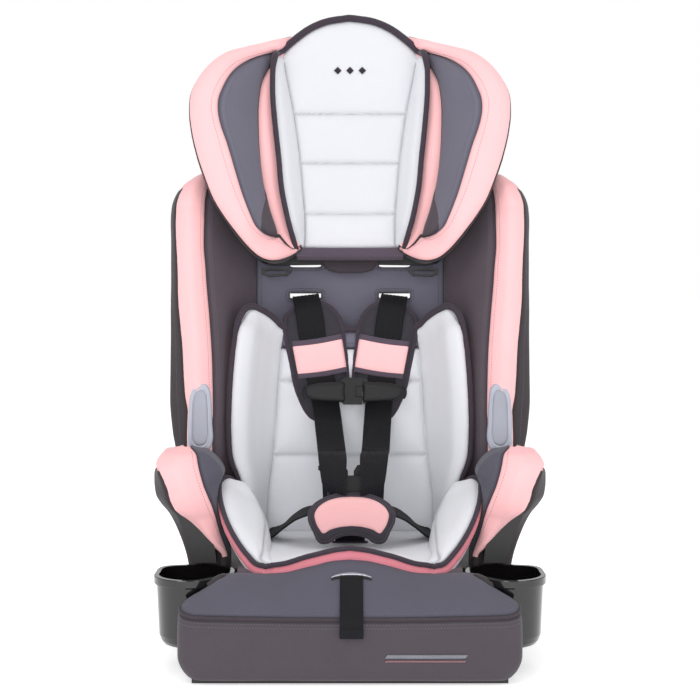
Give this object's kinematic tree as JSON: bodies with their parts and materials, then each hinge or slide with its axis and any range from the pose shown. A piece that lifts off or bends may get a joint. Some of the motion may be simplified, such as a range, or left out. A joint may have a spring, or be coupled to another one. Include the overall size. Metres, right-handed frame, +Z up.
{
  "type": "booster seat",
  "caption": "Child booster seat with a high winged back, sliding headrest, padded inserts, armrests, side cup holders and a buckled shoulder and lap harness.",
  "frame": {"origin": "middle of the base's underside, on the floor plane", "axes": "+Z up, the seat faces -Y, +X to the right as seen from the front"},
  "size_m": [0.473, 0.4443, 0.7984],
  "materials": {
    "cover_grey": "knitted, mid grey",
    "cover_charcoal": "knitted, charcoal",
    "cover_pink": "smooth knitted, pale pink",
    "insert_light": "fine knitted, light grey",
    "piping": "dark binding",
    "webbing": "woven webbing, black",
    "moulding": "fine grained black moulding",
    "gloss_moulding": "polished black",
    "clip_plastic": "satin black",
    "guide_plastic": "satin blue-grey",
    "bezel_plastic": "silvered",
    "button_red": "satin red",
    "steel": "zinc plated",
    "foam": "bead foam"
  },
  "bodies": {
    "base": {"base_shell": "moulding", "base_cover": "cover_charcoal", "armrest_cover_left": "cover_pink", "armrest_cover_right": "cover_pink", "seat_insert": "insert_light", "hinge_rod": "steel", "hinge_clips": "steel", "harness_anchors": "steel", "base_screws": "steel", "crotch_strap": "webbing", "lap_strap_left": "webbing", "lap_strap_right": "webbing", "adjuster_housing": "moulding", "adjuster_pin": "steel", "adjuster_spring": "steel", "adjuster_bezel": "bezel_plastic", "splitter_strap": "webbing"},
    "cup_left": {"cup_holder_left": "gloss_moulding"},
    "cup_right": {"cup_holder_right": "gloss_moulding"},
    "adjuster_lever": {"adjuster_lever": "moulding"},
    "adjuster_tail": {"adjuster_strap": "webbing"},
    "buckle": {"buckle_housing": "clip_plastic", "buckle_spring": "steel", "buckle_latch": "steel"},
    "buckle_button": {"buckle_button": "button_red"},
    "tongue_left": {"tongue_left": "clip_plastic"},
    "tongue_right": {"tongue_right": "clip_plastic"},
    "crotch_pad": {"crotch_pad": "cover_pink"},
    "backrest": {"backrest_shell": "moulding", "back_cover_panel": "cover_grey", "torso_bolster_left": "cover_charcoal", "torso_bolster_right": "cover_charcoal", "back_insert": "insert_light", "belt_guides": "guide_plastic", "belt_guide_screws": "steel", "shoulder_strap_left": "webbing", "shoulder_strap_right": "webbing", "shoulder_pad_left": "cover_grey", "shoulder_pad_right": "cover_grey", "splitter_plate": "steel", "tether_strap": "webbing", "tether_hook": "steel", "tether_anchor": "steel", "headrest_rack": "steel"},
    "tether_gate": {"tether_gate": "steel"},
    "headrest": {"headrest_shell": "moulding", "headrest_slider": "moulding", "head_foam": "foam", "head_wing_left": "cover_pink", "head_wing_right": "cover_pink", "head_insert": "insert_light", "shoulder_belt_guides": "moulding", "headrest_screws": "steel", "lock_spring": "steel"},
    "headrest_handle": {"headrest_handle": "moulding"},
    "lock_pin_left": {"lock_pin_left": "steel"},
    "lock_pin_right": {"lock_pin_right": "steel"},
    "chest_clip": {"chest_clip_socket": "clip_plastic"},
    "chest_clip_tongue": {"chest_clip_tongue": "clip_plastic"},
    "chest_clip_button": {"chest_clip_button": "clip_plastic"}
  },
  "joints": [
    {"name": "backrest_tilt", "type": "hinge", "parent": "base", "child": "backrest", "pos_m": [0, 0.165, 0.07], "axis": [1, 0, 0], "range_deg": [-15, 0], "deforming": ["splitter_strap", "shoulder_strap_left", "shoulder_strap_right"]},
    {"name": "headrest_height", "type": "slide", "parent": "backrest", "child": "headrest", "axis": [0, 0.1736, 0.9848], "range_m": [-0.03, 0.06]},
    {"name": "headrest_release", "type": "slide", "parent": "headrest", "child": "headrest_handle", "axis": [0, 0.1736, 0.9848], "range_m": [0, 0.008], "deforming": ["lock_spring"]},
    {"name": "lock_pin_left_draw", "type": "slide", "parent": "headrest", "child": "lock_pin_left", "axis": [1, 0, 0], "range_m": [0, 0.005]},
    {"name": "lock_pin_right_draw", "type": "slide", "parent": "headrest", "child": "lock_pin_right", "axis": [-1, 0, 0], "range_m": [0, 0.005]},
    {"name": "cup_left_slide", "type": "slide", "parent": "base", "child": "cup_left", "axis": [-1, 0, 0], "range_m": [0, 0.05]},
    {"name": "cup_right_slide", "type": "slide", "parent": "base", "child": "cup_right", "axis": [1, 0, 0], "range_m": [0, 0.05]},
    {"name": "adjuster_lever_rock", "type": "hinge", "parent": "base", "child": "adjuster_lever", "pos_m": [0, -0.153, 0.075], "axis": [1, 0, 0], "range_deg": [-8, 0], "deforming": ["adjuster_spring"]},
    {"name": "adjuster_tail_swing", "type": "hinge", "parent": "base", "child": "adjuster_tail", "pos_m": [0.0017, -0.153, 0.1225], "axis": [1, 0, 0], "range_deg": [-60, 0]},
    {"name": "buckle_swing", "type": "hinge", "parent": "base", "child": "buckle", "pos_m": [0, -0.027, 0.1475], "axis": [1, 0, 0], "range_deg": [-25, 0], "deforming": ["crotch_strap", "lap_strap_left", "lap_strap_right"]},
    {"name": "buckle_button_press", "type": "slide", "parent": "buckle", "child": "buckle_button", "axis": [0, 0.9945, -0.1045], "range_m": [0, 0.003], "deforming": ["buckle_spring"]},
    {"name": "tongue_left_release", "type": "slide", "parent": "buckle", "child": "tongue_left", "axis": [0, 0.1045, 0.9945], "range_m": [0, 0.025]},
    {"name": "tongue_right_release", "type": "slide", "parent": "buckle", "child": "tongue_right", "axis": [0, 0.1045, 0.9945], "range_m": [0, 0.025]},
    {"name": "crotch_pad_flip", "type": "hinge", "parent": "buckle", "child": "crotch_pad", "pos_m": [0.002, -0.0565, 0.1985], "axis": [1, 0, 0], "range_deg": [-60, 0]},
    {"name": "chest_clip_slide", "type": "slide", "parent": "backrest", "child": "chest_clip", "axis": [0, -0.6517, -0.7585], "range_m": [0, 0.05]},
    {"name": "chest_clip_release", "type": "slide", "parent": "chest_clip", "child": "chest_clip_tongue", "axis": [1, 0, 0], "range_m": [0, 0.03]},
    {"name": "chest_clip_press", "type": "slide", "parent": "chest_clip", "child": "chest_clip_button", "axis": [0, 0.9848, -0.1736], "range_m": [0, 0.002]},
    {"name": "tether_gate_open", "type": "hinge", "parent": "backrest", "child": "tether_gate", "pos_m": [-0.0006, 0.16748, 0.23988], "axis": [0, 0.9848, -0.1736], "range_deg": [0, 20]}
  ],
  "couplings": [
    {"joint": "lock_pin_left_draw", "follows": "headrest_release", "ratio": 0.625},
    {"joint": "lock_pin_right_draw", "follows": "headrest_release", "ratio": 0.625}
  ]
}
